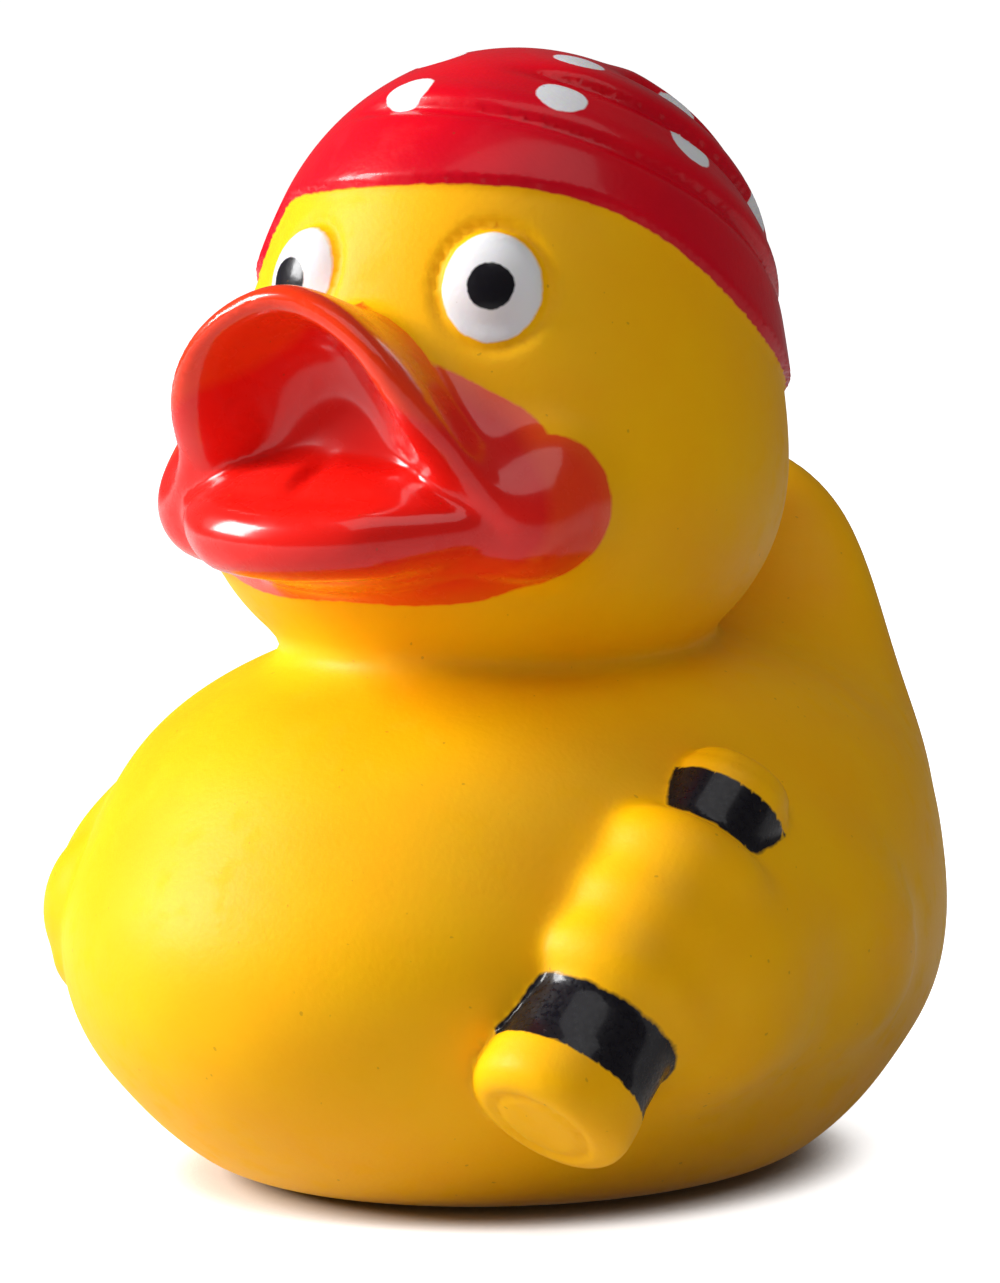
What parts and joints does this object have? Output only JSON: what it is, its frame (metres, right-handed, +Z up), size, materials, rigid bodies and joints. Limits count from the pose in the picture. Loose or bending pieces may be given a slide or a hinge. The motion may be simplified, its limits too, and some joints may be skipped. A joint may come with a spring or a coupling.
{
  "type": "rubber duck",
  "caption": "Hollow soft vinyl bath duck with a flat base, an open bill and a spotted headscarf, gripping a small spyglass on its left side.",
  "frame": {"origin": "centre of the flat base, on the surface the duck stands on", "axes": "+Z up, the duck looks along -Y, and its left side, which holds the spyglass, is +X"},
  "size_m": [0.0669, 0.0761, 0.0839],
  "materials": {
    "vinyl": "satin yellow vinyl, painted in gloss red on the bill, satin red with white spots on the scarf, and white and black on the eyes and spyglass"
  },
  "bodies": {
    "root": {"duck": "vinyl"}
  },
  "joints": []
}
